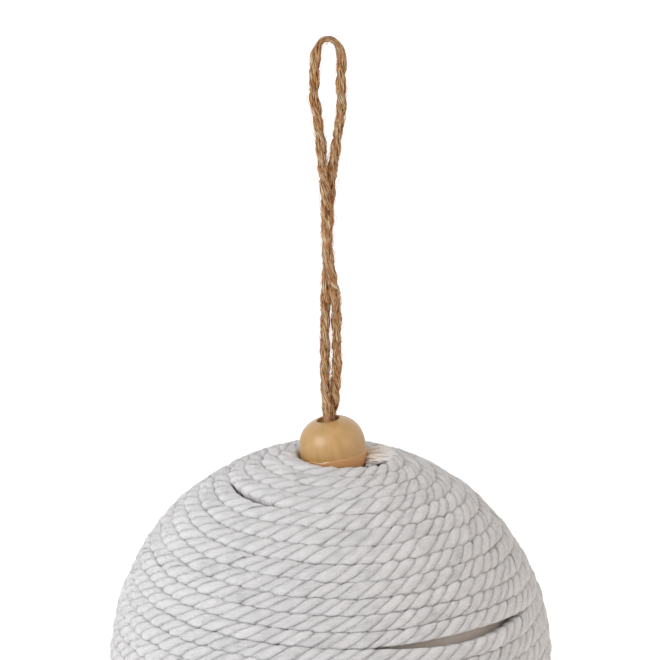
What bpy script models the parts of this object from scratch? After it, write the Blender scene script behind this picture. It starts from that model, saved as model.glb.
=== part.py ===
"""A rope-wrapped hanging ball: a foam ball wound with one cotton rope, a wooden bead on top, and a
jute loop to hang it by. Metres, +Z up. The origin is the point that it hangs from, inside the top
of the loop, and the front is towards -Y."""

import math

import bmesh
import bpy
from mathutils import Vector

# Sizes of the ball and its winding
CORE_DIAMETER = 0.0915
ROPE_HEIGHT = 0.0036
TURN_PITCH = 0.00388
TURN_GAP = 0.0007
SEAT_GAP = 0.0003
CHORD_SAG = 0.0003
LARGEST_STEP = math.radians(24)
START_AZIMUTH = math.radians(50)
TUCKED_START = math.radians(80)
END_RADIUS = 0.0025

# Where the winding is slack: the winding angle just below the place, how far it reaches to
# either side, and how wide the turns part there. Neighbours move by a share less each turn.
SLACK_PLACES = (
    (math.radians(340), math.radians(65), 0.0022),
    (math.radians(4 * 360 + 212), math.radians(30), 0.0008),
    (math.radians(12 * 360 + 311), math.radians(42), 0.0021),
)
SLACK_KEPT = 0.88

# How the winding lies askew: lower towards +X all the way down to the middle of the ball, and
# sagging in front about one height. Angles at the middle of the ball.
WINDING_LEAN = math.radians(1.5)
SAG_DEPTH = math.radians(2.1)
SAG_AZIMUTH = math.radians(270)
SAG_POLAR = math.radians(50)
SAG_SIDEWAYS = math.radians(90)
SAG_DOWNWARDS = math.radians(28)

# Sizes of the bead
BEAD_DIAMETER = 0.0150
BEAD_LENGTH = 0.0140
BEAD_RIM = 0.0005
BEAD_SQUARENESS = 2.5
BEAD_ABOVE_CORE = 0.0037
BEAD_ASIDE = 0.0007
BEAD_TILT = math.radians(-9)
BORE_CLEARANCE = 0.0006

# Sizes of the twine, its knot and the glue that holds it
TWINE_DIAMETER = 0.0021
LOOP_HEIGHT = 0.0854
TWINE_STEP = 0.0030
KNOT_DIAMETER = 0.0072
KNOT_HEIGHT = 0.0064
TAIL_LENGTH = 0.0055
TAIL_SPLAY = math.radians(9)
TAIL_OFFSET = 0.0013
GLUE_WALL = 0.0013
NECK_LENGTH = 0.0020
PLUG_FOOT = 0.0025

# How finely round things are drawn
CORE_STEPS = 36
CORE_RINGS = 20
BEAD_STEPS = 28
BEAD_RINGS = 10
SMALL_STEPS = 20

# The two sides of the loop, from the hanging point down to the bead's mouth: the share of the way
# down, how far the middle of the pair stands to +X, half the free space between the two, and how
# far the pair has turned about the vertical. Lengths in metres, angles in degrees.
LOOP_STATIONS = (
    (0.020, 0.0000, 0.00170, 0),
    (0.084, -0.0002, 0.00190, 0),
    (0.138, -0.0002, 0.00190, 0),
    (0.180, 0.0001, 0.00150, 0),
    (0.229, 0.0000, 0.00090, 2),
    (0.282, -0.0001, 0.00045, 8),
    (0.322, -0.0003, 0.00015, 25),
    (0.376, -0.0002, 0.00010, 60),
    (0.456, -0.0003, 0.00010, 76),
    (0.536, -0.0004, 0.00010, 92),
    (0.576, -0.0001, 0.00010, 106),
    (0.614, 0.0000, 0.00010, 126),
    (0.675, 0.0003, 0.00010, 170),
    (0.763, 0.0003, 0.00025, 180),
    (0.840, 0.0003, 0.00025, 183),
    (0.900, 0.0002, 0.00015, 194),
    (0.950, 0.0001, 0.00012, 224),
    (1.000, -0.0001, 0.00010, 256),
)

# How far along the bead's bore the twine's next points lie, and how far out and up the points are
# that round the top of the loop, as a share of the loop's half width and the twine's radius
BORE_STATIONS = (0.3, 0.8)
CROWN_SHARE = 0.55

TURN = 2 * math.pi

# Places that follow from the sizes, as heights above the middle of the ball
core_radius = CORE_DIAMETER / 2
rope_radius = core_radius + SEAT_GAP + ROPE_HEIGHT / 2 + CHORD_SAG
rope_width = TURN_PITCH - TURN_GAP
pitch_angle = TURN_PITCH / rope_radius
bead_radius = BEAD_DIAMETER / 2
bead_height = core_radius + BEAD_ABOVE_CORE
bore_radius = TWINE_DIAMETER + BORE_CLEARANCE
bead_power = 2 / BEAD_SQUARENESS
bead_edge = math.acos(((bore_radius + 2 * BEAD_RIM) / bead_radius) ** (1 / bead_power))
bead_round_half = BEAD_LENGTH / 2 / math.sin(bead_edge) ** bead_power
bead_reach = max(bead_radius, bead_round_half) * 2 ** (0.5 - 1 / BEAD_SQUARENESS)
dimple_radius = bead_reach + SEAT_GAP + BEAD_ASIDE
plug_top = bead_height - dimple_radius
cavity_top = plug_top - NECK_LENGTH
knot_height = cavity_top - SEAT_GAP - KNOT_HEIGHT / 2
cavity_bottom = knot_height - KNOT_HEIGHT / 2 - TAIL_LENGTH - SEAT_GAP
cavity_radius = KNOT_DIAMETER / 2 + SEAT_GAP
plug_radius = cavity_radius + GLUE_WALL
plug_bottom = cavity_bottom - PLUG_FOOT
ball_drop = LOOP_HEIGHT + BEAD_LENGTH / 2 + bead_height


def clear_scene():
    for item in list(bpy.data.objects):
        bpy.data.objects.remove(item, do_unlink=True)


def material(name, colour, roughness):
    made = bpy.data.materials.new(name)
    made.use_nodes = True
    shader = made.node_tree.nodes["Principled BSDF"]
    shader.inputs["Base Color"].default_value = (*colour, 1)
    shader.inputs["Roughness"].default_value = roughness
    shader.inputs["Metallic"].default_value = 0.0
    return made


def place(data, name, finish, parent):
    """Adds an object for a mesh or curve to the scene, with its finish and its parent."""
    made = bpy.data.objects.new(name, data)
    bpy.context.scene.collection.objects.link(made)
    data.materials.append(finish)
    made.parent = parent
    return made


def arc(radius, start, end, count, height=0.0):
    """Points (distance from the axis, height) along an arc, angles measured up from level."""
    turned = [start + (end - start) * i / count for i in range(count + 1)]
    return [(radius * math.cos(a), height + radius * math.sin(a)) for a in turned]


def turned(outline, steps):
    """A solid turned about Z from a closed outline of (distance from the axis, height) points."""
    shape = bmesh.new()
    points = [shape.verts.new((across, 0, up)) for across, up in outline]
    on_axis = abs(outline[0][0]) < SEAT_GAP / 10 and abs(outline[-1][0]) < SEAT_GAP / 10
    edges = [shape.edges.new(pair) for pair in zip(points, points[1:])]
    if not on_axis:
        edges.append(shape.edges.new((points[-1], points[0])))
    bmesh.ops.spin(
        shape, geom=points + edges, cent=(0, 0, 0), axis=(0, 0, 1),
        angle=TURN, steps=steps, use_merge=True,
    )
    bmesh.ops.remove_doubles(shape, verts=shape.verts, dist=SEAT_GAP / 100)
    bmesh.ops.recalc_face_normals(shape, faces=shape.faces)
    mesh = bpy.data.meshes.new("turned")
    shape.to_mesh(mesh)
    shape.free()
    mesh.shade_smooth()
    mesh.set_sharp_from_angle(angle=math.radians(40))
    return mesh


def foam_core(finish, ball):
    """The foam ball, with a dimple that the bead sits in and a socket for the glue plug."""
    socket_radius = plug_radius + SEAT_GAP
    rim_height = (core_radius**2 + bead_height**2 - dimple_radius**2) / (2 * bead_height)
    rim_angle = math.asin(rim_height / core_radius)
    rim_seen = -math.acos(math.sqrt(core_radius**2 - rim_height**2) / dimple_radius)
    mouth_seen = -math.acos(socket_radius / dimple_radius)
    outline = [(0, -core_radius)]
    outline += arc(core_radius, -math.pi / 2, rim_angle, CORE_RINGS)[1:]
    outline += arc(dimple_radius, rim_seen, mouth_seen, 2, bead_height)[1:]
    outline += [(socket_radius, plug_bottom - SEAT_GAP), (0, plug_bottom - SEAT_GAP)]
    return place(turned(outline, CORE_STEPS), "foam_core", finish, ball)


def bell(off, reach):
    """One in the middle, falling smoothly to nothing at the reach to either side."""
    return math.cos(off / reach * math.pi / 2) ** 2 if abs(off) < reach else 0.0


def slack(winding_angle):
    """How far the rope stands to the far side of its even place, along the ball's surface."""
    shift = 0.0
    for below, reach, opening in SLACK_PLACES:
        turns = round((winding_angle - below) / TURN)
        off = abs(winding_angle - below - turns * TURN)
        if off < reach:
            side, rank = (1, turns) if turns >= 0 else (-1, -turns - 1)
            shift += side * opening / 2 * SLACK_KEPT**rank * bell(off, reach)
    return shift


def askew(winding_angle, even):
    """How much further down than its even angle from the top the winding runs."""
    across = math.remainder(winding_angle - SAG_AZIMUTH, TURN)
    sag = SAG_DEPTH * bell(across, SAG_SIDEWAYS) * bell(even - SAG_POLAR, SAG_DOWNWARDS)
    return sag + WINDING_LEAN * min(1, 1 + math.cos(even)) * math.cos(winding_angle)


def clear_polar(azimuth, aside):
    """The angle from the top of the ball at which the rope just clears a bead that stands aside."""
    apart = bead_radius + ROPE_HEIGHT / 2 + SEAT_GAP
    away = math.hypot(aside * math.cos(azimuth), bead_height)
    level = (rope_radius**2 + aside**2 + bead_height**2 - apart**2) / (2 * rope_radius * away)
    return math.atan2(aside * math.cos(azimuth), bead_height) + math.acos(level)


def winding():
    """(place, angle from the top of the ball) along the middle of the rope, from the bead down."""
    begin = clear_polar(START_AZIMUTH, 0)
    end = math.pi - END_RADIUS / rope_radius
    last = START_AZIMUTH + (end - begin) / pitch_angle * TURN
    angle = START_AZIMUTH - TUCKED_START
    stations = []
    while True:
        angle = min(angle, last)
        even = begin + (angle - START_AZIMUTH) / TURN * pitch_angle
        polar = even + askew(angle, even) + slack(angle) / rope_radius
        polar = max(polar, clear_polar(angle, BEAD_ASIDE))
        around = rope_radius * math.sin(polar)
        height = rope_radius * math.cos(polar)
        spot = Vector((around * math.cos(angle), around * math.sin(angle), height))
        stations.append((spot, polar))
        if angle >= last:
            return stations
        angle += min(2 * math.acos(max(0.0, 1 - CHORD_SAG / around)), LARGEST_STEP)


def rope_section(ball):
    """The rope's section, pressed flat where it meets its neighbours: a guide for the sweep."""
    half, tall = rope_width / 2, ROPE_HEIGHT / 2
    corners = ((0, tall), (half, tall / 2), (half, -tall / 2), (0, -tall), (-half, -tall / 2),
               (-half, tall / 2))
    guide = bpy.data.curves.new("rope_section", "CURVE")
    guide.dimensions = "3D"
    line = guide.splines.new("POLY")
    line.points.add(len(corners) - 1)
    for point, (across, out) in zip(line.points, corners):
        point.co = (across, out, 0, 1)
    line.use_cyclic_u = True
    made = bpy.data.objects.new("rope_section", guide)
    bpy.context.scene.collection.objects.link(made)
    made.hide_render = True
    made.display_type = "WIRE"
    made.parent = ball
    return made


def cotton_rope(finish, ball):
    """One rope wound round the foam ball from the bead to the bottom, as a single swept solid."""
    sweep = bpy.data.curves.new("cotton_rope", "CURVE")
    sweep.dimensions = "3D"
    sweep.twist_mode = "Z_UP"
    sweep.bevel_mode = "OBJECT"
    sweep.bevel_object = rope_section(ball)
    sweep.use_fill_caps = True
    line = sweep.splines.new("POLY")
    stations = winding()
    line.points.add(len(stations) - 1)
    for point, (spot, polar) in zip(line.points, stations):
        point.co = (*spot, 1)
        point.tilt = polar
    return place(sweep, "cotton_rope", finish, ball)


def wooden_bead(finish, ball):
    """The turned bead: a squarish round with flat ends, soft rims and a bore for the loop's sides."""
    half = BEAD_LENGTH / 2
    outline = []
    for i in range(-BEAD_RINGS, BEAD_RINGS + 1, 2):
        around = bead_edge * i / BEAD_RINGS
        rise = math.copysign(abs(math.sin(around)) ** bead_power, i)
        outline.append((bead_radius * math.cos(around) ** bead_power, bead_round_half * rise))
    outline += [(bore_radius + BEAD_RIM, half), (bore_radius, half - BEAD_RIM)]
    outline += [(bore_radius, BEAD_RIM - half), (bore_radius + BEAD_RIM, -half)]
    bead = place(turned(outline, BEAD_STEPS), "wooden_bead", finish, ball)
    bead.location = (BEAD_ASIDE, 0, bead_height)
    bead.rotation_euler = (0, BEAD_TILT, 0)
    return bead


def smooth_line(points, step):
    """Points about a step apart on a smooth curve through the given ones."""
    ends = [2 * points[0] - points[1], *points, 2 * points[-1] - points[-2]]
    line = []
    for a, b, c, d in zip(ends, ends[1:], ends[2:], ends[3:]):
        count = max(1, round((c - b).length / step))
        for i in range(count):
            t = i / count
            line.append(0.5 * (
                2 * b + (c - a) * t + (2 * a - 5 * b + 4 * c - d) * t**2
                + (3 * b - a - 3 * c + d) * t**3
            ))
    return [*line, points[-1]]


def loop_route():
    """Points along the twine, from the knot up through the bead, round the loop and back."""
    near, far = [], []
    twine_radius = TWINE_DIAMETER / 2
    for share, middle, free, turned_by in LOOP_STATIONS:
        spread = twine_radius + free
        aim = math.radians(turned_by)
        aside = Vector((spread * math.cos(aim), spread * math.sin(aim), 0))
        spot = Vector((middle, 0, -share * LOOP_HEIGHT))
        near.append(spot - aside)
        far.append(spot + aside)
    held_apart = Vector((0, math.copysign(twine_radius + SEAT_GAP / 2, aside.y), 0))
    down_bore = Vector((-math.sin(BEAD_TILT), 0, -math.cos(BEAD_TILT))) * BEAD_LENGTH
    mouth = Vector((LOOP_STATIONS[-1][1], 0, -LOOP_HEIGHT))
    knot_top = knot_height + KNOT_HEIGHT / 2 + SEAT_GAP - ball_drop
    held = [mouth + down_bore * share for share in BORE_STATIONS]
    held.append(Vector((0, 0, knot_top)))
    near += [spot - held_apart for spot in held]
    far += [spot + held_apart for spot in held]
    top = Vector((0, 0, twine_radius))
    shoulder = Vector((CROWN_SHARE * near[0].x, 0, CROWN_SHARE * twine_radius))
    other_shoulder = Vector((-shoulder.x, 0, shoulder.z))
    return [*reversed(near), shoulder, top, other_shoulder, *far]


def jute_twine(finish):
    """The twine as one plain tube along its whole route. Its ends lie on the knot."""
    tube = bpy.data.curves.new("jute_twine", "CURVE")
    tube.dimensions = "3D"
    tube.bevel_depth = TWINE_DIAMETER / 2
    tube.bevel_resolution = 2
    tube.use_fill_caps = True
    line = tube.splines.new("POLY")
    route = smooth_line(loop_route(), TWINE_STEP)
    line.points.add(len(route) - 1)
    for point, spot in zip(line.points, route):
        point.co = (*spot, 1)
    return place(tube, "jute_twine", finish, None)


def twine_knot(finish, ball):
    """The knot that the twine's two ends are tied in, with both tails below it."""
    half = KNOT_HEIGHT / 2
    stretch = half / (KNOT_DIAMETER / 2)
    lump = arc(KNOT_DIAMETER / 2, -math.pi / 2, math.pi / 2, 8)
    outline = [(max(across, 0.0), up * stretch) for across, up in lump]
    knot = place(turned(outline, SMALL_STEPS), "twine_knot", finish, ball)
    knot.location = (0, 0, knot_height)
    rooted = half / 2
    for name, side in (("first_tail", -1), ("second_tail", 1)):
        tail = bmesh.new()
        bmesh.ops.create_cone(
            tail, cap_ends=True, segments=8, radius1=TWINE_DIAMETER / 2,
            radius2=TWINE_DIAMETER / 2, depth=TAIL_LENGTH + rooted,
        )
        mesh = bpy.data.meshes.new(name)
        tail.to_mesh(mesh)
        tail.free()
        end = place(mesh, name, finish, knot)
        end.location = (0, side * TAIL_OFFSET, (rooted - TAIL_LENGTH) / 2 - half)
        end.rotation_euler = (side * TAIL_SPLAY, 0, 0)
        end.hide_render = True
        end.display_type = "WIRE"
        join = knot.modifiers.new(name, "BOOLEAN")
        join.operation = "UNION"
        join.object = end
    return knot


def glue_plug(finish, ball):
    """Set glue that fills the socket round the knot, with a neck that the twine rises through."""
    outline = [(0, plug_bottom), (plug_radius, plug_bottom), (plug_radius, plug_top),
               (bore_radius, plug_top), (bore_radius, cavity_top), (cavity_radius, cavity_top),
               (cavity_radius, cavity_bottom), (0, cavity_bottom)]
    return place(turned(outline, SMALL_STEPS), "glue_plug", finish, ball)


def main():
    clear_scene()
    cotton = material("twisted cotton rope", (0.76, 0.75, 0.74), 0.9)
    foam = material("moulded foam", (0.68, 0.63, 0.58), 0.8)
    wood = material("lacquered beech", (0.62, 0.40, 0.19), 0.35)
    jute = material("jute twine", (0.40, 0.22, 0.10), 0.9)
    glue = material("set hot glue", (0.80, 0.76, 0.62), 0.4)
    ball = bpy.data.objects.new("ball_middle", None)
    bpy.context.scene.collection.objects.link(ball)
    ball.location = (0, 0, -ball_drop)
    foam_core(foam, ball)
    cotton_rope(cotton, ball)
    wooden_bead(wood, ball)
    jute_twine(jute)
    twine_knot(jute, ball)
    glue_plug(glue, ball)


main()
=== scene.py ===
import math

import bmesh
import bpy
import numpy as np
from mathutils import Matrix, Vector


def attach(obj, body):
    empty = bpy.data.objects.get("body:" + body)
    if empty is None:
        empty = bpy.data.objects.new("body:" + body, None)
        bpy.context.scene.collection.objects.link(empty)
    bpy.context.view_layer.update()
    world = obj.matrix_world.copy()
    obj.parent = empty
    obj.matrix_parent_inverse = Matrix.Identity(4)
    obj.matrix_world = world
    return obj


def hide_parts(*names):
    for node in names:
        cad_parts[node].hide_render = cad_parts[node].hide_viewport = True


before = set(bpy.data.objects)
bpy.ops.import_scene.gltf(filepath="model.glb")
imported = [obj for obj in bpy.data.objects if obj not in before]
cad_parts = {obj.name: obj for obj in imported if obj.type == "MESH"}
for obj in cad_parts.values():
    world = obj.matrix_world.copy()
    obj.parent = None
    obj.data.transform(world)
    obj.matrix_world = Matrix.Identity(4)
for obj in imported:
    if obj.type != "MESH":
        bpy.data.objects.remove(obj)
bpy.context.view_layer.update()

# Lengths are in metres. The origin is the point that the ornament hangs from, and +Z is up.
TURN = 2 * math.pi
MM = 0.001

# The ball
CORE_RADIUS = 0.04575
BALL_RADIUS = 0.050
# The gap that the frame leaves between pieces, and its room for the sag of the rope's facets
SEAT_GAP = 0.0003
CHORD_SAG = 0.0003
BALL_MIDDLE = Vector((0, 0, -0.14185))

# The rope's winding, as in the frame except for the second slack place
ROPE_HEIGHT = 0.0036
TURN_PITCH = 0.00388
ROPE_RADIUS = CORE_RADIUS + SEAT_GAP + ROPE_HEIGHT / 2 + CHORD_SAG
START_AZIMUTH = math.radians(50)
TUCKED_START = math.radians(80)
END_RADIUS = 0.0025
# Each slack place: where along the winding it is, how far it reaches and how wide it opens.
# The second, at the upper left, is wider and longer than the frame's, as in the photograph.
SLACK_PLACES = (
    (math.radians(340), math.radians(65), 0.0022),
    (math.radians(4 * 360 + 222), math.radians(42), 0.0014),
    (math.radians(12 * 360 + 311), math.radians(42), 0.0021),
)
# How much of an opening is left on each further turn
SLACK_KEPT = 0.88
WINDING_LEAN = math.radians(1.5)
SAG_DEPTH = math.radians(2.1)
SAG_AZIMUTH = math.radians(270)
SAG_POLAR = math.radians(50)
SAG_SIDEWAYS = math.radians(90)
SAG_DOWNWARDS = math.radians(28)
WINDING_POINTS = 60000

# The rope's strands
STRANDS = 3
ROPE_LAY = 0.0114
ROPE_RINGS = 11000
STRAND_SIDES = 9
STRAND_CREST = 0.00208
STRAND_VALLEY = 0.00130
STRAND_ROUNDNESS = 1.0
STRAND_OVERLAP = 1.28
# How much of a groove's depth is left on the ball's outside and towards the next turn
OUTER_GROOVE = 0.34
SIDE_GROOVE = 0.80
# How abruptly a strand stops at the next turn, and where, as a share of its half of the room
PRESSING = 8
PRESSED_REACH = 1.20
# How much wider the rope is than it is high, and the power that its section flattens by
SPREAD = 1.27
FLATTENING = 0.30
# The length over which the rope thins towards its frayed end, and the girth left there
FRAYED = 0.013
FRAYED_GIRTH = 0.25

# What wanders along the rope: how far apart its draws are, and how much it wanders
LINE_ASIDE_WANDER = (0.022, 0.00009)
LINE_HEIGHT_WANDER = (0.017, 0.00010)
ROPE_TWIST_WANDER = (0.024, 0.75)
ROPE_GIRTH_WANDER = (0.012, 0.035)
STRAND_TWIST_WANDER = (0.007, 0.20)
STRAND_GIRTH_WANDER = (0.0048, 0.10)
STRAND_GROOVE_WANDER = (0.010, 0.50)
STRAND_RIDGE_WANDER = (0.0021, 0.045)

# The loose cotton. A fibre is about 0.02 mm wide and would not show, so both kinds are drawn
# coarser: the fuzz 0.05 mm wide, and the frayed end as bundles of 0.16 mm.
FUZZ = 24000
FUZZ_WIDTH = 0.00005
FUZZ_LENGTH = (0.0010, 0.0034)
FUZZ_LEAST_LIFT = 0.00008
FUZZ_LIFT = 0.00028
# Where it is rooted, as a share of a strand's crest, and how it spreads round the rope and leans
# from the rope's own direction, both in radians and both drawn from a normal spread
FUZZ_ROOT = 0.93
FUZZ_AROUND = 0.75
FUZZ_LEAN = (0.35, 0.5)
FUZZ_CLEAR_RINGS = 20
END_FIBRES = 420
END_FIBRE_WIDTH = 0.00016
END_FIBRE_LENGTH = (0.0024, 0.0062)
END_FIBRE_LIFT = (0.0, 0.0006)
END_FIBRE_BEND = -0.35
END_FAN = (math.radians(-18), math.radians(24))
END_TURN = (math.radians(0), math.radians(40))
END_HEIGHT = (-0.0036, -0.0008)
END_CLEAR = 0.0001
# An end fibre's slope is its root's depth over the rise, less the dip
END_RISE = 0.010
END_DIP = 0.05
# How far from the bead the loose fibres carry painted shade and warm light bounced from the bead
BOUNCE_SHADE_REACH = 0.0055

# The bead: 0.5 mm longer and 0.3 mm higher than the frame's, with a narrower and sharper bore
BEAD_RADIUS = 0.0075
BEAD_LENGTH = 0.0145
BEAD_RIM = 0.0002
BEAD_SQUARENESS = 2.5
BEAD_ASIDE = 0.0007
BEAD_ABOVE_CORE = 0.0040
BEAD_TILT = math.radians(-9)
BEAD_MIDDLE = Vector((BEAD_ASIDE, 0, BALL_MIDDLE.z + CORE_RADIUS + BEAD_ABOVE_CORE))
BORE_RADIUS = 0.0025
BEAD_STEPS = 24
BEAD_SIDES = 96
RIM_STEPS = 4
# Heights from the bead's middle where its plain amber lower part begins and is full, and its edge's
# waves
LOWER_AMBER_BEGINS = 0.0001
LOWER_AMBER_FULL = -0.0002
LOWER_AMBER_WAVES = 0.0012

# The twine, on the frame's route but thinned and lifted at the top of the loop
TWINE_DIAMETER = 0.0021
TWINE_STEP = 0.0030
LOOP_HEIGHT = 0.0854
KNOT_TOP = -0.10349
# Each station: its share of the way down the loop, the middle between the two sides, half the
# room left between them, and how far round the pair is turned in degrees.
LOOP_STATIONS = (
    (0.020, 0.0000, 0.00170, 0),
    (0.084, -0.0002, 0.00190, 0),
    (0.138, -0.0002, 0.00190, 0),
    (0.180, 0.0001, 0.00150, 0),
    (0.229, 0.0000, 0.00090, 2),
    (0.282, -0.0001, 0.00045, 8),
    (0.322, -0.0003, 0.00015, 25),
    (0.376, -0.0002, 0.00010, 60),
    (0.456, -0.0003, 0.00010, 76),
    (0.536, -0.0004, 0.00010, 92),
    (0.576, -0.0001, 0.00010, 106),
    (0.614, 0.0000, 0.00010, 126),
    (0.675, 0.0003, 0.00010, 170),
    (0.763, 0.0003, 0.00025, 180),
    (0.840, 0.0003, 0.00025, 183),
    (0.900, 0.0002, 0.00015, 194),
    (0.950, 0.0001, 0.00012, 224),
    (1.000, -0.0001, 0.00010, 256),
)
BORE_STATIONS = (0.3, 0.8)
CROWN_SHARE = 0.55
TWINE_LAY = 0.0100
TWINE_RINGS = 1400
PLIES = 2
PLY_SIDES = 15
PLY_CREST = 0.00114
PLY_VALLEY = 0.00044
PLY_ROUNDNESS = 0.42
PLY_OVERLAP = 1.04
PLY_TWIST_WANDER = (0.006, 0.8)
PLY_GIRTH_WANDER = (0.0045, 0.12)
PLY_LUMP_WANDER = (0.0014, 0.07)
PLY_BUNDLE_WANDER = (0.0030, 0.10)
CROWN_THINNING = 0.52
CROWN_THINNING_REACH = 0.0045
CROWN_LIFT = 0.00065
CROWN_LIFT_REACH = 0.006

# The twine's stray hairs, drawn 0.06 mm wide, which is a little coarser than a jute fibre
HAIRS = 3600
HAIR_WIDTH = 0.00006
HAIR_LENGTH = (0.0012, 0.0034)
HAIR_LIFT = (0.0001, 0.0011)
HAIR_ROOT = 0.8
HAIR_LEAN = 0.45
HAIR_CLEAR_RINGS = 60
CROWN_TRIM = 0.6
CROWN_TRIM_REACH = 0.012

# How near a strand's or ply's inner edge comes to the cord's axis, as a share of its valley's
# distance, and how far apart on their map in millimetres the strands lie, so that no two match
INNER_SHARE = 0.1
STRAND_MAP_STEP = 11
PLY_MAP_STEP = 7

# Every stray fibre, of cotton or jute
FIBRE_PLACES = 5
FIBRE_SWAY = 0.25
FIBRE_TIP = (-0.2, 1.0)
FIBRE_TAPER = 0.75

# Patches to a millimetre in the cords' patterns, along the fibres and across them. A streak of
# cotton is 1.7 by 0.33 mm, one of jute 2.9 by 0.22 mm, and a paler stretch of jute 6.3 by 1.8 mm.
# The streaks are bundles of fibres, because a single fibre is too fine to show.
COTTON_STREAKS = (0.60, 3.0)
JUTE_STREAKS = (0.35, 4.6)
JUTE_STRETCHES = (0.16, 0.55)

# Patches to a metre in the other patterns. Beech's grain is finer than the 2 by 17 mm here, and
# is drawn coarser so that it shows. The waves on the edge of the bead's amber lower part are
# 2.4 mm wide, a bead of the foam 3.3 mm, and a patch in the glue 5 mm.
BEECH_GRAIN = (500, 500, 60)
LOWER_AMBER_PATCHES = 420.0
FOAM_PATCHES = 300
GLUE_PATCHES = 200

# The view. The photograph is 660 pixels square, and pixel places are in its frame.
PHOTO_SIDE = 660
BALL_PIXEL = (330.8, 658.0)
PIXEL = 0.0002290
CAMERA_DISTANCE = 0.90
CAMERA_RISE = math.radians(20)
CAMERA_ROLL = math.radians(0.22)
SENSOR_WIDTH = 36

# The room
ROOM_LIGHT = 0.64
ROOM_COLOUR = "#fffdfa"
# Each lamp: its name, its place, how wide it is, its power in watts and its colour.
LAMPS = (
    ("broad_lamp", (-0.9, -0.75, 0.45), 0.9, 8.3, "#fcfbff"),
    ("weak_lamp", (0.9, -0.6, 0.2), 0.8, 1.7, "#ffdcc4"),
)
FLOOR_REACH = 6
FLOOR_DROP = 0.060
FLOOR_GLOW = 0.62


def linear(code):
    """A colour written as sRGB hex, as the linear RGBA that a shader takes."""
    parts = [int(code[i:i + 2], 16) / 255 for i in (1, 3, 5)]
    return (*[c / 12.92 if c <= 0.04045 else ((c + 0.055) / 1.055) ** 2.4 for c in parts], 1)


def add_node(tree, kind, inputs=None, **settings):
    """Adds a node, sets what it is given, and links each input that is given a socket."""
    made = tree.nodes.new("ShaderNode" + kind)
    stops = settings.pop("stops", ())
    for name, value in settings.items():
        setattr(made, name, value)
    for i, (at, colour) in enumerate(stops):
        ramp = made.color_ramp.elements
        stop = ramp[i] if i < len(ramp) else ramp.new(at)
        stop.position = at
        stop.color = linear(colour)
    for name, value in (inputs or {}).items():
        if isinstance(value, bpy.types.NodeSocket):
            tree.links.new(value, made.inputs[name])
        else:
            made.inputs[name].default_value = value
    return made


def new_material(name):
    """A new material, with its node tree and its shader."""
    made = bpy.data.materials.new(name)
    made.use_nodes = True
    return made, made.node_tree, made.node_tree.nodes["Principled BSDF"]


def wander(at, spacing, size, seed):
    """A smooth random value at each place along a length: one draw each spacing, eased between."""
    draws = np.random.default_rng(seed).uniform(-1, 1, int(np.max(at) / spacing) + 4)
    along = np.clip(at / spacing, 0, len(draws) - 3)
    before = along.astype(int)
    share = along - before
    eased = share * share * (3 - 2 * share)
    return size * (draws[before] * (1 - eased) + draws[before + 1] * eased)


def bell(off, reach):
    """One in the middle, falling smoothly to nothing at the reach to either side."""
    return np.cos(np.minimum(np.abs(off) / reach, 1) * math.pi / 2) ** 2


def rolled_strip(name, sides, rings, form, fibres):
    """A long tube: a flat strip whose long edges are brought together, with its ends closed.
    form(ring, side) gives the strip's points and fibres(ring, side) its map, both in the whole."""
    shape = bmesh.new()
    bmesh.ops.create_grid(shape, x_segments=sides, y_segments=rings, size=0.5)
    mesh = bpy.data.meshes.new(name)
    shape.to_mesh(mesh)
    flat = np.empty(len(mesh.vertices) * 3)
    mesh.vertices.foreach_get("co", flat)
    side = np.rint((flat[0::3] + 0.5) * sides).astype(int)
    ring = np.rint((flat[1::3] + 0.5) * rings).astype(int)
    mesh.vertices.foreach_set("co", form(ring, side).ravel())
    corner = np.empty(len(mesh.loops), int)
    mesh.loops.foreach_get("vertex_index", corner)
    mesh.uv_layers.new(name="fibres").data.foreach_set("uv", fibres(ring, side)[corner].ravel())
    shape.clear()
    shape.from_mesh(mesh)
    shape.verts.ensure_lookup_table()
    seam = [shape.verts[i] for i in np.nonzero((side == 0) | (side == sides))[0]]
    bmesh.ops.remove_doubles(shape, verts=seam, dist=MM / 1000)
    ends = [edge for edge in shape.edges if edge.is_boundary]
    bmesh.ops.holes_fill(shape, edges=ends, sides=sides)
    bmesh.ops.recalc_face_normals(shape, faces=shape.faces)
    shape.to_mesh(mesh)
    shape.free()
    mesh.shade_smooth()
    return mesh


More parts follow.
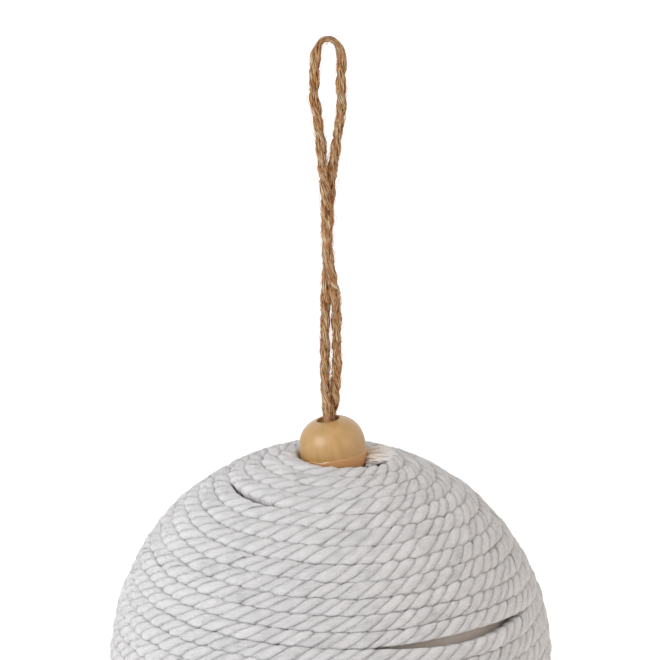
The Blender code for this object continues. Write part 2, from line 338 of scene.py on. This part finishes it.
def stray_fibres(name, roots, along, out_way, length, lift, width, seed, bend=0.0):
    """Fine flat fibres that leave a surface at their roots and arch along it, each with an array
    row. Each fibre is a strip with a few places along it, cut off from the next one's."""
    draws = np.random.default_rng(seed)
    count = len(roots)
    sway = (draws.uniform(-FIBRE_SWAY, FIBRE_SWAY, count) + bend) * length
    roll = draws.uniform(0, math.pi, count)
    tip = draws.uniform(*FIBRE_TIP, count)
    rows = FIBRE_PLACES * count - 1
    shape = bmesh.new()
    bmesh.ops.create_grid(shape, x_segments=1, y_segments=rows, size=0.5)
    mesh = bpy.data.meshes.new(name)
    shape.to_mesh(mesh)
    flat = np.empty(len(mesh.vertices) * 3)
    mesh.vertices.foreach_get("co", flat)
    row = np.rint((flat[1::3] + 0.5) * rows).astype(int)
    fibre = row // FIBRE_PLACES
    t = (row % FIBRE_PLACES) / (FIBRE_PLACES - 1)
    aside = np.cross(along, out_way)
    arch = lift[fibre] * (4 * t * (1 - t) + tip[fibre] * t * t)
    half_width = width / 2 * np.sign(flat[0::3]) * (1 - FIBRE_TAPER * t * t)
    flat_way = np.cos(roll)[:, None] * aside + np.sin(roll)[:, None] * out_way
    spot = roots[fibre] + along[fibre] * (length[fibre] * t)[:, None]
    spot += out_way[fibre] * arch[:, None] + aside[fibre] * (sway[fibre] * t * t)[:, None]
    spot += flat_way[fibre] * half_width[:, None]
    mesh.vertices.foreach_set("co", spot.ravel())
    shape.clear()
    shape.from_mesh(mesh)
    between = [face for face in shape.faces
               if len({int(fibre[corner.index]) for corner in face.verts}) > 1]
    bmesh.ops.delete(shape, geom=between, context="FACES_ONLY")
    shape.to_mesh(mesh)
    shape.free()
    return mesh


def place(name, mesh, finish, slot, *nodes):
    """Puts a finished mesh in the scene: its material, its body, and the nodes that it stands for."""
    made = bpy.data.objects.new(name, mesh)
    bpy.context.scene.collection.objects.link(made)
    mesh.materials.clear()
    mesh.materials.append(finish)
    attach(made, "root")
    if nodes:
        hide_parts(*nodes)
    return made


def camera():
    """The photograph's view: from the front and a little above, through a long lens."""
    focal = CAMERA_DISTANCE / PIXEL
    data = bpy.data.cameras.new("photo_camera")
    data.sensor_width = SENSOR_WIDTH
    data.lens = focal * SENSOR_WIDTH / PHOTO_SIDE
    made = bpy.data.objects.new("photo_camera", data)
    bpy.context.scene.collection.objects.link(made)
    back = Vector((0, -math.cos(CAMERA_RISE), math.sin(CAMERA_RISE)))
    below = (BALL_PIXEL[1] - PHOTO_SIDE / 2) * PIXEL
    aside = (PHOTO_SIDE / 2 - BALL_PIXEL[0]) * PIXEL + below * math.sin(CAMERA_ROLL)
    made.location = BALL_MIDDLE + back * CAMERA_DISTANCE + Vector((aside, 0, 0))
    lifted = math.atan(below / CAMERA_DISTANCE)
    aim = Matrix.Rotation(math.pi / 2 - CAMERA_RISE + lifted, 3, "X")
    made.rotation_euler = (aim @ Matrix.Rotation(-CAMERA_ROLL, 3, "Z")).to_euler()
    bpy.context.scene.camera = made


def smooth_line(points, step):
    """Points about a step apart on a smooth curve through the given ones."""
    ends = [2 * points[0] - points[1], *points, 2 * points[-1] - points[-2]]
    line = []
    for a, b, c, d in zip(ends, ends[1:], ends[2:], ends[3:]):
        count = max(1, round((c - b).length / step))
        for i in range(count):
            t = i / count
            line.append(0.5 * (
                2 * b + (c - a) * t + (2 * a - 5 * b + 4 * c - d) * t**2
                + (3 * b - a - 3 * c + d) * t**3
            ))
    return [*line, points[-1]]


def loop_route():
    """Points along the twine, from the knot up through the bead, round the loop and back."""
    near, far = [], []
    twine_radius = TWINE_DIAMETER / 2
    for share, middle, free, turned_by in LOOP_STATIONS:
        spread = twine_radius + free
        aim = math.radians(turned_by)
        aside = Vector((spread * math.cos(aim), spread * math.sin(aim), 0))
        spot = Vector((middle, 0, -share * LOOP_HEIGHT))
        near.append(spot - aside)
        far.append(spot + aside)
    held_apart = Vector((0, math.copysign(twine_radius + SEAT_GAP / 2, aside.y), 0))
    down_bore = Vector((-math.sin(BEAD_TILT), 0, -math.cos(BEAD_TILT))) * BEAD_LENGTH
    mouth = Vector((LOOP_STATIONS[-1][1], 0, -LOOP_HEIGHT))
    held = [mouth + down_bore * share for share in BORE_STATIONS]
    held.append(Vector((0, 0, KNOT_TOP)))
    near += [spot - held_apart for spot in held]
    far += [spot + held_apart for spot in held]
    top = Vector((0, 0, twine_radius))
    shoulder = Vector((CROWN_SHARE * near[0].x, 0, CROWN_SHARE * twine_radius))
    other_shoulder = Vector((-shoulder.x, 0, shoulder.z))
    return [*reversed(near), shoulder, top, other_shoulder, *far]


def even_line(points, count):
    """The line through the points as evenly spaced places, with its direction at each."""
    spots = np.array([tuple(p) for p in points])
    run = np.concatenate([[0], np.cumsum(np.linalg.norm(np.diff(spots, axis=0), axis=1))])
    at = np.linspace(0, run[-1], count)
    line = np.stack([np.interp(at, run, spots[:, i]) for i in range(3)], axis=1)
    ahead = np.gradient(line, axis=0)
    return at, line, ahead / np.linalg.norm(ahead, axis=1, keepdims=True)


def carried_sideways(ahead):
    """A sideways direction at each place of a line that turns no more than the line does."""
    side = Vector((0, -1, 0))
    carried = []
    for row in ahead:
        direction = Vector(row)
        side = (side - direction * side.dot(direction)).normalized()
        carried.append(tuple(side))
    return np.array(carried)


def lobe(lobes, sides, crest, valley, roundness, overlap):
    """One strand's section in the cord's: angles from its middle and distances from the axis."""
    spread = math.pi / lobes * overlap
    angle = np.linspace(-spread, spread, sides - 1)
    rise = np.clip(np.cos(angle / spread * math.pi / 2), 0, 1) ** roundness
    out = valley + (crest - valley) * rise
    angle = np.concatenate([angle, [0, angle[0]]])
    out = np.concatenate([out, [valley * INNER_SHARE, out[0]]])
    return angle, out


def twine_ply(ply, at, line, out_way, across_way):
    """One ply of the twine, with bundles of fibres that rise and sink along it."""
    angle, reach = lobe(PLIES, PLY_SIDES, PLY_CREST, PLY_VALLEY, PLY_ROUNDNESS, PLY_OVERLAP)
    turned = -TURN * at / TWINE_LAY + TURN * ply / PLIES + wander(at, *PLY_TWIST_WANDER, seed=31)
    swell = 1 + wander(at, *PLY_GIRTH_WANDER, seed=41 + ply)
    swell += wander(at, *PLY_LUMP_WANDER, seed=51 + ply)
    swell -= CROWN_THINNING * bell(at - at[-1] / 2, CROWN_THINNING_REACH)
    bundles = np.stack([wander(at, *PLY_BUNDLE_WANDER, seed=80 + 20 * ply + side)
                        for side in range(PLY_SIDES)])

    def form(ring, side):
        aim = turned[ring] + angle[side]
        far = reach[side] * (swell[ring] + bundles[side % PLY_SIDES, ring])
        return (line[ring] + (np.cos(aim) * far)[:, None] * out_way[ring]
                + (np.sin(aim) * far)[:, None] * across_way[ring])

    def fibres(ring, side):
        side_run = (angle[side] + (side == PLY_SIDES) * TURN / PLIES) * PLY_CREST
        return np.stack([at[ring] / MM, side_run / MM + PLY_MAP_STEP * ply], axis=1)

    return rolled_strip("ply", PLY_SIDES, TWINE_RINGS, form, fibres)


def twine_hairs(at, line, ahead, out_way, across_way):
    """The stray hairs all along the twine, which are shorter near the top of the loop."""
    draws = np.random.default_rng(91)
    root = draws.integers(HAIR_CLEAR_RINGS, TWINE_RINGS - HAIR_CLEAR_RINGS, HAIRS)
    aim = draws.uniform(0, TURN, HAIRS)[:, None]
    up = np.cos(aim) * out_way[root] + np.sin(aim) * across_way[root]
    lean = draws.uniform(-HAIR_LEAN, HAIR_LEAN, HAIRS) + math.pi * draws.integers(0, 2, HAIRS)
    lean = lean[:, None]
    along = np.cos(lean) * ahead[root] + np.sin(lean) * np.cross(ahead[root], up)
    length = draws.uniform(*HAIR_LENGTH, HAIRS)
    length *= 1 - CROWN_TRIM * bell(at[root] - at[-1] / 2, CROWN_TRIM_REACH)
    lift = draws.uniform(*HAIR_LIFT, HAIRS) ** 2 / HAIR_LIFT[1]
    roots = line[root] + up * PLY_CREST * HAIR_ROOT
    return stray_fibres("hairs", roots, along, up, length, lift, HAIR_WIDTH, seed=92)


def jute_twine(finish):
    """The twine along its whole route: both plies and the stray hairs, as one piece."""
    route = smooth_line(loop_route(), TWINE_STEP)
    at, line, ahead = even_line(smooth_line(route, TWINE_STEP / 6), TWINE_RINGS + 1)
    line[:, 2] += CROWN_LIFT * bell(at - at[-1] / 2, CROWN_LIFT_REACH)
    out_way = carried_sideways(ahead)
    across_way = np.cross(ahead, out_way)
    parts = [twine_ply(ply, at, line, out_way, across_way) for ply in range(PLIES)]
    parts.append(twine_hairs(at, line, ahead, out_way, across_way))
    whole = bmesh.new()
    for part in parts:
        whole.from_mesh(part)
        bpy.data.meshes.remove(part)
    mesh = bpy.data.meshes.new("jute_twine_plies")
    whole.to_mesh(mesh)
    whole.free()
    mesh.shade_smooth()
    made = place("jute_twine_plies", mesh, finish, "jute", "jute_twine")


def slack(winding_angle):
    """How far the rope stands to the far side of its even place, along the ball's surface."""
    shift = np.zeros_like(winding_angle)
    for below, reach, opening in SLACK_PLACES:
        turns = np.rint((winding_angle - below) / TURN)
        off = winding_angle - below - turns * TURN
        side = np.where(turns >= 0, 1, -1)
        rank = np.where(turns >= 0, turns, -turns - 1)
        shift += side * opening / 2 * SLACK_KEPT**rank * bell(off, reach)
    return shift


def beside_gap(winding_angle):
    """One on the turns to either side of a gap's middle, falling to nothing at its ends."""
    near = np.zeros_like(winding_angle)
    for below, reach, _ in SLACK_PLACES:
        near += bell(winding_angle - below, reach) + bell(winding_angle - below + TURN, reach)
    return near


def askew(winding_angle, even):
    """How much further down than its even angle from the top the winding runs."""
    across = winding_angle - SAG_AZIMUTH
    across -= np.rint(across / TURN) * TURN
    sag = SAG_DEPTH * bell(across, SAG_SIDEWAYS) * bell(even - SAG_POLAR, SAG_DOWNWARDS)
    return sag + WINDING_LEAN * np.minimum(1, 1 + np.cos(even)) * np.cos(winding_angle)


def clear_polar(azimuth, aside):
    """The angle from the top of the ball at which the rope just clears a bead that stands aside."""
    bead_height = (BEAD_MIDDLE - BALL_MIDDLE).z
    apart = BEAD_RADIUS + ROPE_HEIGHT / 2 + SEAT_GAP
    away = np.hypot(aside * np.cos(azimuth), bead_height)
    level = (ROPE_RADIUS**2 + aside**2 + bead_height**2 - apart**2) / (2 * ROPE_RADIUS * away)
    return np.arctan2(aside * np.cos(azimuth), bead_height) + np.arccos(level)


def ball_way(around, down):
    """The direction out of the ball's middle, by the angle around and the angle from the top."""
    return np.stack([np.sin(down) * np.cos(around), np.sin(down) * np.sin(around),
                     np.cos(down)], axis=1)


def winding():
    """The middle of the rope from the bead down: its run, its place, the way out of the ball, the
    way across, its half of the room between turns, and how far past that it can be pressed."""
    begin = clear_polar(START_AZIMUTH, 0)
    end = math.pi - END_RADIUS / ROPE_RADIUS
    pitch_angle = TURN_PITCH / ROPE_RADIUS
    last = START_AZIMUTH + (end - begin) / pitch_angle * TURN
    angle = np.linspace(START_AZIMUTH - TUCKED_START, last, WINDING_POINTS)
    even = begin + (angle - START_AZIMUTH) / TURN * pitch_angle
    polar = even + askew(angle, even) + slack(angle) / ROPE_RADIUS
    polar = np.maximum(polar, clear_polar(angle, BEAD_ASIDE))
    beside = askew(angle, even + pitch_angle / 2) - askew(angle, even - pitch_angle / 2)
    room = (TURN_PITCH + beside * ROPE_RADIUS) / 2
    pressed = PRESSED_REACH - (PRESSED_REACH - 1) * beside_gap(angle)
    run = np.linalg.norm(np.diff(ball_way(angle, polar), axis=0), axis=1) * ROPE_RADIUS
    run = np.concatenate([[0], np.cumsum(run)])
    at = np.linspace(0, run[-1], ROPE_RINGS + 1)
    room = np.interp(at, run, room)
    pressed = np.interp(at, run, pressed)
    angle = np.interp(at, run, angle)
    polar = np.interp(at, run, polar)
    polar = polar + wander(at, *LINE_ASIDE_WANDER, seed=11) / ROPE_RADIUS
    out_way = ball_way(angle, polar)
    stand = ROPE_RADIUS + wander(at, *LINE_HEIGHT_WANDER, seed=12)
    line = out_way * stand[:, None] + np.array(BALL_MIDDLE)
    ahead = np.gradient(line, axis=0)
    ahead /= np.linalg.norm(ahead, axis=1, keepdims=True)
    across_way = np.cross(ahead, out_way)
    across_way /= np.linalg.norm(across_way, axis=1, keepdims=True)
    return at, line, out_way, across_way, room, pressed


def rope_strands(at, line, out_way, across_way, room, pressed, finish):
    """The rope's strands, twisted round each other all along the winding. Each turn is flattened
    and pressed against the next."""
    angle, reach = lobe(STRANDS, STRAND_SIDES, STRAND_CREST, STRAND_VALLEY, STRAND_ROUNDNESS,
                        STRAND_OVERLAP)
    twist = -TURN * at / ROPE_LAY + wander(at, *ROPE_TWIST_WANDER, seed=13)
    girth = 1 + wander(at, *ROPE_GIRTH_WANDER, seed=14)
    thinned = FRAYED_GIRTH + (1 - FRAYED_GIRTH) * np.clip(at / FRAYED, 0, 1)
    for strand in range(STRANDS):
        turned = twist + TURN * strand / STRANDS
        turned = turned + wander(at, *STRAND_TWIST_WANDER, seed=21 + strand)
        swell = girth + wander(at, *STRAND_GIRTH_WANDER, seed=24 + strand)
        groove = 1 + wander(at, *STRAND_GROOVE_WANDER, seed=27 + strand)
        ridges = np.stack([wander(at, *STRAND_RIDGE_WANDER, seed=60 + 10 * strand + side)
                           for side in range(STRAND_SIDES)])

        def form(ring, side):
            aim = turned[ring] + angle[side]
            depth = groove[ring] * (OUTER_GROOVE + (SIDE_GROOVE - OUTER_GROOVE) * np.sin(aim) ** 2)
            far = STRAND_CREST - (STRAND_CREST - reach[side]) * depth
            far = far * (swell[ring] + ridges[side % STRAND_SIDES, ring]) * thinned[ring]
            most = room[ring] * pressed[ring]
            even = np.arcsin(np.sin(aim)) / (math.pi / 2)
            across = even * far * room[ring] / (TURN_PITCH / 2) * SPREAD
            across /= (1 + np.abs(across / most) ** PRESSING) ** (1 / PRESSING)
            out = np.sign(np.cos(aim)) * np.abs(np.cos(aim)) ** FLATTENING * far
            return line[ring] + out[:, None] * out_way[ring] + across[:, None] * across_way[ring]

        def fibres(ring, side):
            side_run = (angle[side] + (side == STRAND_SIDES) * TURN / STRANDS) * STRAND_CREST
            return np.stack([at[ring] / MM, side_run / MM + STRAND_MAP_STEP * strand], axis=1)

        name = f"rope_strand_{strand + 1}"
        mesh = rolled_strip(name, STRAND_SIDES, ROPE_RINGS, form, fibres)
        place(name, mesh, finish, "cotton_rope", "cotton_rope")


def cotton_fuzz(line, out_way, across_way):
    """The fuzz of loose fibre ends, mostly on the rope's outer side and along its strands."""
    draws = np.random.default_rng(71)
    root = draws.integers(FUZZ_CLEAR_RINGS, ROPE_RINGS - FUZZ_CLEAR_RINGS, FUZZ)
    aim = draws.normal(0, FUZZ_AROUND, FUZZ)
    rope_way = np.cross(out_way[root], across_way[root])
    up = np.cos(aim)[:, None] * out_way[root] + np.sin(aim)[:, None] * across_way[root]
    lean = draws.normal(*FUZZ_LEAN, FUZZ) + math.pi * draws.integers(0, 2, FUZZ)
    along = np.cos(lean)[:, None] * rope_way + np.sin(lean)[:, None] * np.cross(rope_way, up)
    length = draws.uniform(*FUZZ_LENGTH, FUZZ)
    lift = np.abs(draws.normal(0, 1, FUZZ)) * FUZZ_LIFT + FUZZ_LEAST_LIFT
    roots = line[root] + up * STRAND_CREST * FUZZ_ROOT
    return stray_fibres("cotton_fuzz", roots, along, up, length, lift, FUZZ_WIDTH, seed=72)


def frayed_end():
    """The loose fibres of the rope's end, which fan out from beside the bead over the first turn.
    The lower a fibre's root is, the more steeply it rises."""
    draws = np.random.default_rng(75)
    azimuth = draws.uniform(*END_FAN, END_FIBRES)
    outwards = np.stack([np.cos(azimuth), np.sin(azimuth), np.zeros(END_FIBRES)], axis=1)
    onwards = np.stack([np.sin(azimuth), -np.cos(azimuth), np.zeros(END_FIBRES)], axis=1)
    height = draws.uniform(*END_HEIGHT, END_FIBRES)
    roots = np.array(BEAD_MIDDLE) + outwards * (BEAD_RADIUS + END_CLEAR)
    roots[:, 2] += height
    turned = draws.uniform(*END_TURN, END_FIBRES)[:, None]
    along = np.cos(turned) * outwards + np.sin(turned) * onwards
    along[:, 2] -= END_DIP + height / END_RISE
    along /= np.linalg.norm(along, axis=1, keepdims=True)
    up = np.array([0, 0, 1]) - along * along[:, 2:]
    up /= np.linalg.norm(up, axis=1, keepdims=True)
    length = draws.uniform(*END_FIBRE_LENGTH, END_FIBRES)
    lift = draws.uniform(*END_FIBRE_LIFT, END_FIBRES)
    return stray_fibres("frayed_end", roots, along, up, length, lift, END_FIBRE_WIDTH, seed=76,
                        bend=END_FIBRE_BEND)


def cotton_rope(finish, loose_finish):
    """The whole rope: its strands, the fuzz on them, and the frayed end beside the bead."""
    at, line, out_way, across_way, room, pressed = winding()
    rope_strands(at, line, out_way, across_way, room, pressed, finish)
    fuzz = cotton_fuzz(line, out_way, across_way)
    place("cotton_fuzz", fuzz, finish, "cotton_rope", "cotton_rope")
    place("frayed_end", frayed_end(), loose_finish, "cotton_rope", "cotton_rope")


def turned_piece(name, outline, steps):
    """A ring turned about Z from (distance from the axis, height) points, up its outer side."""
    shape = bmesh.new()
    points = [shape.verts.new((across, 0, up)) for across, up in outline]
    edges = [shape.edges.new(pair) for pair in zip(points, points[1:] + points[:1])]
    bmesh.ops.spin(
        shape, geom=points + edges, cent=(0, 0, 0), axis=(0, 0, 1),
        angle=TURN, steps=steps, use_merge=True,
    )
    bmesh.ops.remove_doubles(shape, verts=shape.verts, dist=MM / 1000)
    bmesh.ops.recalc_face_normals(shape, faces=shape.faces)
    mesh = bpy.data.meshes.new(name)
    shape.to_mesh(mesh)
    shape.free()
    mesh.shade_smooth()
    return mesh


def rounded(corner_across, corner_up, radius, start):
    """A quarter round about a centre, from the start angle on."""
    angles = [start + math.pi / 2 * i / RIM_STEPS for i in range(RIM_STEPS + 1)]
    return [(corner_across + radius * math.cos(a), corner_up + radius * math.sin(a)) for a in angles]


def wooden_bead(finish):
    """The turned bead, with softened rims at both ends of its bore."""
    half = BEAD_LENGTH / 2
    power = 2 / BEAD_SQUARENESS
    edge = math.acos(((BORE_RADIUS + 2 * BEAD_RIM) / BEAD_RADIUS) ** (1 / power))
    side = []
    for i in range(-BEAD_STEPS, BEAD_STEPS + 1):
        around = edge * i / BEAD_STEPS
        rise = math.copysign(abs(math.sin(around) / math.sin(edge)) ** power, i)
        side.append((BEAD_RADIUS * math.cos(around) ** power, half * rise))
    rim_middle = BORE_RADIUS + BEAD_RIM
    outline = side + rounded(rim_middle, half - BEAD_RIM, BEAD_RIM, math.pi / 2)
    outline += rounded(rim_middle, BEAD_RIM - half, BEAD_RIM, math.pi)
    mesh = turned_piece("bead", outline, BEAD_SIDES)
    mesh.transform(Matrix.Translation(BEAD_MIDDLE) @ Matrix.Rotation(BEAD_TILT, 4, "Y"))
    place("bead", mesh, finish, "bead_wood", "wooden_bead")


def lamp(name, spot, width, power, colour):
    """A round soft lamp that shines at the ball's middle."""
    data = bpy.data.lights.new(name, "AREA")
    data.shape = "DISK"
    data.size = width
    data.energy = power
    data.color = linear(colour)[:3]
    made = bpy.data.objects.new(name, data)
    bpy.context.scene.collection.objects.link(made)
    made.location = spot
    made.rotation_euler = (BALL_MIDDLE - Vector(spot)).to_track_quat("-Z", "Y").to_euler()


def studio():
    """A white room: soft light all round, a broad lamp at the left front and a weak one opposite."""
    world = bpy.data.worlds.new("white_studio")
    bpy.context.scene.world = world
    world.use_nodes = True
    tree = world.node_tree
    tree.nodes.clear()
    path = add_node(tree, "LightPath")
    shown = add_node(tree, "Math", {0: path.outputs["Is Camera Ray"],
                                    1: path.outputs["Is Glossy Ray"]}, operation="MAXIMUM")
    shown = add_node(tree, "Math", {0: shown.outputs[0],
                                    1: path.outputs["Is Transmission Ray"]}, operation="MAXIMUM")
    soft = add_node(tree, "Background", {"Color": linear(ROOM_COLOUR), "Strength": ROOM_LIGHT})
    white = add_node(tree, "Background", {"Color": linear("#ffffff"), "Strength": 1.0})
    mix = add_node(tree, "MixShader", {0: shown.outputs[0], 1: soft.outputs[0],
                                       2: white.outputs[0]})
    add_node(tree, "OutputWorld", {"Surface": mix.outputs[0]})
    for settings in LAMPS:
        lamp(*settings)
    bpy.context.scene.view_settings.view_transform = "Standard"


def floor():
    """A plain white floor below the hanging ball, not seen from underneath."""
    level = BALL_MIDDLE.z - BALL_RADIUS - FLOOR_DROP
    shape = bmesh.new()
    bmesh.ops.create_grid(shape, x_segments=1, y_segments=1, size=FLOOR_REACH)
    bmesh.ops.translate(shape, verts=shape.verts, vec=(0, 0, level))
    mesh = bpy.data.meshes.new("floor")
    shape.to_mesh(mesh)
    shape.free()
    finish, tree, shader = new_material("matt white paper")
    shader.inputs["Base Color"].default_value = linear("#f2f2f2")
    shader.inputs["Roughness"].default_value = 0.9
    path = add_node(tree, "LightPath")
    glow = add_node(tree, "Emission", {"Color": linear("#ffffff"), "Strength": FLOOR_GLOW})
    both = add_node(tree, "AddShader", {0: shader.outputs[0], 1: glow.outputs[0]})
    seen = add_node(tree, "MixShader", {0: path.outputs["Is Camera Ray"], 1: shader.outputs[0],
                                        2: both.outputs[0]})
    side = add_node(tree, "NewGeometry")
    clear = add_node(tree, "BsdfTransparent")
    out = add_node(tree, "MixShader", {0: side.outputs["Backfacing"], 1: seen.outputs[0],
                                       2: clear.outputs[0]})
    tree.links.new(out.outputs[0], tree.nodes["Material Output"].inputs["Surface"])
    made = bpy.data.objects.new("floor", mesh)
    bpy.context.scene.collection.objects.link(made)
    mesh.materials.append(finish)


def streaks(tree, per_mm, slope, detail):
    """Uneven streaks along a cord's fibres, which cross its strands at a slope. The map that they
    are drawn on is in millimetres."""
    fibres = add_node(tree, "UVMap", uv_map="fibres")
    parts = add_node(tree, "SeparateXYZ", {0: fibres.outputs[0]})
    lean = add_node(tree, "Math", {0: parts.outputs[0], 1: -slope, 2: parts.outputs[1]},
                    operation="MULTIPLY_ADD")
    way = add_node(tree, "CombineXYZ", {0: parts.outputs[0], 1: lean.outputs[0]})
    spread = add_node(tree, "Mapping", {0: way.outputs[0], "Scale": (*per_mm, 1.0)})
    return add_node(tree, "TexNoise", {
        "Vector": spread.outputs[0], "Scale": 1.0, "Detail": detail, "Roughness": 0.65,
        "Distortion": 0.3,
    }, noise_dimensions="2D")


def cotton():
    """Twisted cotton: white, matt and soft, with fine fibre streaks along each strand."""
    finish, tree, shader = new_material("twisted cotton")
    streak = streaks(tree, COTTON_STREAKS, slope=0.55, detail=6.0)
    colour = add_node(tree, "ValToRGB", {0: streak.outputs[0]},
                      stops=((0.34, "#e9e8e8"), (0.5, "#f9f8f8"), (0.6, "#ffffff")))
    bump = add_node(tree, "Bump", {"Strength": 1.0, "Distance": 0.0005,
                                   "Height": streak.outputs[0]})
    tree.links.new(colour.outputs[0], shader.inputs["Base Color"])
    tree.links.new(bump.outputs[0], shader.inputs["Normal"])
    shader.inputs["Roughness"].default_value = 0.95
    shader.inputs["Specular IOR Level"].default_value = 0.15
    shader.inputs["Subsurface Weight"].default_value = 0.8
    shader.inputs["Subsurface Radius"].default_value = (1.0, 0.95, 0.9)
    shader.inputs["Subsurface Scale"].default_value = 0.0022
    return finish


def loose_cotton():
    """Loose cotton fibres: white, with painted shade and warm light bounced from the bead in beige
    beside it, fading out further away.
    """
    finish, tree, shader = new_material("loose cotton fibres")
    where = add_node(tree, "TexCoord")
    from_bead = add_node(tree, "VectorMath", {0: where.outputs["Object"], 1: BEAD_MIDDLE},
                         operation="DISTANCE")
    share = add_node(tree, "MapRange", {0: from_bead.outputs["Value"], 1: BEAD_RADIUS,
                                        2: BEAD_RADIUS + BOUNCE_SHADE_REACH})
    # Painted shade and bounce light from the bead: beige at the bead, fading to white further out
    colour = add_node(tree, "ValToRGB", {0: share.outputs[0]},
                      stops=((0.0, "#efe0d0"), (1.0, "#ffffff")))
    tree.links.new(colour.outputs[0], shader.inputs["Base Color"])
    shader.inputs["Roughness"].default_value = 0.95
    shader.inputs["Specular IOR Level"].default_value = 0.15
    return finish


def jute():
    """Natural jute: brown, coarse and dull, with light and dark bast fibres along each ply, and
    paler and redder stretches where the fibres change."""
    finish, tree, shader = new_material("natural jute")
    streak = streaks(tree, JUTE_STREAKS, slope=0.5, detail=7.0)
    stretch = streaks(tree, JUTE_STRETCHES, slope=0.5, detail=2.0)
    colour = add_node(tree, "ValToRGB", {0: streak.outputs[0]}, stops=(
        (0.42, "#3f1804"), (0.46, "#b97338"), (0.53, "#ecba80"), (0.62, "#fff2d0")))
    paler = add_node(tree, "ValToRGB", {0: streak.outputs[0]}, stops=(
        (0.42, "#5c3413"), (0.46, "#c79c63"), (0.53, "#efd4a5"), (0.62, "#fff6df")))
    share = add_node(tree, "MapRange", {0: stretch.outputs[0], 1: 0.50, 2: 0.64})
    mixed = add_node(tree, "Mix", {0: share.outputs[0], 6: colour.outputs[0],
                                   7: paler.outputs[0]}, data_type="RGBA")
    bump = add_node(tree, "Bump", {"Strength": 1.0, "Distance": 0.0008,
                                   "Height": streak.outputs[0]})
    tree.links.new(mixed.outputs[2], shader.inputs["Base Color"])
    tree.links.new(bump.outputs[0], shader.inputs["Normal"])
    shader.inputs["Roughness"].default_value = 0.75
    shader.inputs["Specular IOR Level"].default_value = 0.3
    return finish


def lacquered_beech():
    """Turned beech under clear lacquer: pale orange wood, faint grain and a glossy coat. Below about
    its middle the bead is painted a plain amber, a little lighter than the wood, with an uneven edge."""
    finish, tree, shader = new_material("lacquered beech")
    where = add_node(tree, "TexCoord")
    centred = add_node(tree, "Mapping", {0: where.outputs["Object"], "Location": BEAD_MIDDLE,
                                         "Rotation": (0, BEAD_TILT, 0)}, vector_type="TEXTURE")
    spread = add_node(tree, "Mapping", {0: centred.outputs[0], "Scale": BEECH_GRAIN})
    grain = add_node(tree, "TexNoise", {"Vector": spread.outputs[0], "Scale": 1.0, "Detail": 4.0})
    wood = add_node(tree, "ValToRGB", {0: grain.outputs[0]},
                    stops=((0.3, "#b48a4d"), (0.7, "#c0985e")))
    parts = add_node(tree, "SeparateXYZ", {0: centred.outputs[0]})
    amber_edge_waves = add_node(tree, "TexNoise", {"Vector": centred.outputs[0], "Scale": LOWER_AMBER_PATCHES,
                                       "Detail": 2.0})
    uneven = add_node(tree, "Math", {0: amber_edge_waves.outputs[0], 1: LOWER_AMBER_WAVES, 2: parts.outputs[2]},
                      operation="MULTIPLY_ADD")
    level = add_node(tree, "MapRange", {0: uneven.outputs[0], 1: LOWER_AMBER_BEGINS,
                                        2: LOWER_AMBER_FULL})
    # The bead is painted a plain amber without grain below about its middle, with a wavy edge
    colour = add_node(tree, "Mix", {0: level.outputs[0], 6: wood.outputs[0],
                                    7: linear("#cf9c65")}, data_type="RGBA")
    bump = add_node(tree, "Bump", {"Strength": 0.8, "Distance": 0.0003,
                                   "Height": level.outputs[0]})
    tree.links.new(colour.outputs[2], shader.inputs["Base Color"])
    tree.links.new(bump.outputs[0], shader.inputs["Normal"])
    tree.links.new(bump.outputs[0], shader.inputs["Coat Normal"])
    shader.inputs["Roughness"].default_value = 0.5
    shader.inputs["Coat Weight"].default_value = 0.8
    shader.inputs["Coat Roughness"].default_value = 0.28
    return finish


def drifting(name, low, high, patches, roughness):
    """A plain material whose colour drifts a little between two."""
    finish, tree, shader = new_material(name)
    where = add_node(tree, "TexCoord")
    drift = add_node(tree, "TexNoise", {"Vector": where.outputs["Object"], "Scale": patches})
    colour = add_node(tree, "ValToRGB", {0: drift.outputs[0]}, stops=((0.3, low), (0.7, high)))
    tree.links.new(colour.outputs[0], shader.inputs["Base Color"])
    shader.inputs["Roughness"].default_value = roughness
    return finish


def moulded_foam():
    """Moulded foam: matt, warm grey, and a little uneven from its beads."""
    return drifting("moulded foam", "#cfc8c2", "#d8d2cc", FOAM_PATCHES, 0.8)


def set_glue():
    """Set glue: cream, and smoother than the rest."""
    return drifting("set glue", "#e8e0c4", "#efe8d0", GLUE_PATCHES, 0.4)


def dress(node, finish):
    """Gives a piece of the frame its finish."""
    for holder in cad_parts[node].material_slots:
        holder.material = finish


camera()
studio()
floor()
jute_finish = jute()
jute_twine(jute_finish)
cotton_rope(cotton(), loose_cotton())
wooden_bead(lacquered_beech())
dress("foam_core", moulded_foam())
dress("glue_plug", set_glue())
dress("twine_knot", jute_finish)
